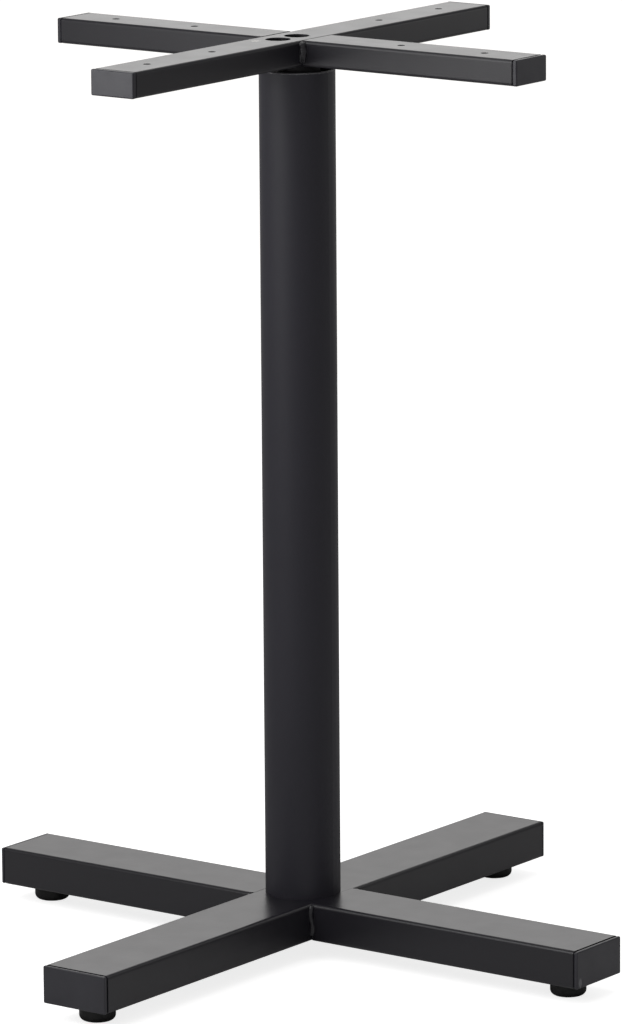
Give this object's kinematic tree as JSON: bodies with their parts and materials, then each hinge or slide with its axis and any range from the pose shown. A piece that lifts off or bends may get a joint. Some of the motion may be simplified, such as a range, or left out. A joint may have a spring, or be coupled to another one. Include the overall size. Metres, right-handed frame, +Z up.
{
  "type": "table base",
  "caption": "Black pedestal table base: a cross of box tube on levelling feet, a round column, and a smaller drilled cross that carries the table top.",
  "frame": {"origin": "on the floor, under the column's axis, with the levelling feet screwed home", "axes": "+Z up along the column, +Y along the long tubes of both crosses, +X along their short arms; the off-centre spanner holes lie towards -Y"},
  "size_m": [0.561, 0.582, 0.72],
  "materials": {
    "black_powder_coat": "satin black powder coat with fine orange peel",
    "cap_plastic": "satin black moulded plastic",
    "glide_plastic": "matt black moulded plastic",
    "zinc_plated_steel": "bright zinc plate",
    "blackened_steel": "black oxide with a trace of oil"
  },
  "bodies": {
    "frame": {"base_long_tube": "black_powder_coat", "base_arm_right": "black_powder_coat", "base_arm_left": "black_powder_coat", "base_corner_welds": "black_powder_coat", "base_seam_fill": "black_powder_coat", "column_tube": "black_powder_coat", "column_head_plate": "black_powder_coat", "column_foot_plate": "black_powder_coat", "top_long_tube": "black_powder_coat", "top_arm_right": "black_powder_coat", "top_arm_left": "black_powder_coat", "top_corner_welds": "black_powder_coat", "base_cap_right": "cap_plastic", "base_cap_back": "cap_plastic", "base_cap_left": "cap_plastic", "base_cap_front": "cap_plastic", "top_cap_right": "cap_plastic", "top_cap_back": "cap_plastic", "top_cap_left": "cap_plastic", "top_cap_front": "cap_plastic", "foot_insert_right": "zinc_plated_steel", "foot_insert_back": "zinc_plated_steel", "foot_insert_left": "zinc_plated_steel", "foot_insert_front": "zinc_plated_steel", "head_bolt": "blackened_steel", "head_bolt_washer": "blackened_steel", "head_screw": "blackened_steel", "head_screw_washer": "blackened_steel", "head_nut": "blackened_steel", "foot_bolt": "blackened_steel", "foot_bolt_washer": "blackened_steel", "foot_screw": "blackened_steel", "foot_screw_washer": "blackened_steel", "foot_nut": "blackened_steel"},
    "foot_right": {"foot_pad_right": "glide_plastic", "foot_stud_right": "zinc_plated_steel"},
    "foot_back": {"foot_pad_back": "glide_plastic", "foot_stud_back": "zinc_plated_steel"},
    "foot_left": {"foot_pad_left": "glide_plastic", "foot_stud_left": "zinc_plated_steel"},
    "foot_front": {"foot_pad_front": "glide_plastic", "foot_stud_front": "zinc_plated_steel"}
  },
  "joints": [
    {"name": "level_right", "type": "slide", "parent": "frame", "child": "foot_right", "axis": [0, 0, -1], "range_m": [0, 0.008]},
    {"name": "level_back", "type": "slide", "parent": "frame", "child": "foot_back", "axis": [0, 0, -1], "range_m": [0, 0.008]},
    {"name": "level_left", "type": "slide", "parent": "frame", "child": "foot_left", "axis": [0, 0, -1], "range_m": [0, 0.008]},
    {"name": "level_front", "type": "slide", "parent": "frame", "child": "foot_front", "axis": [0, 0, -1], "range_m": [0, 0.008]}
  ]
}
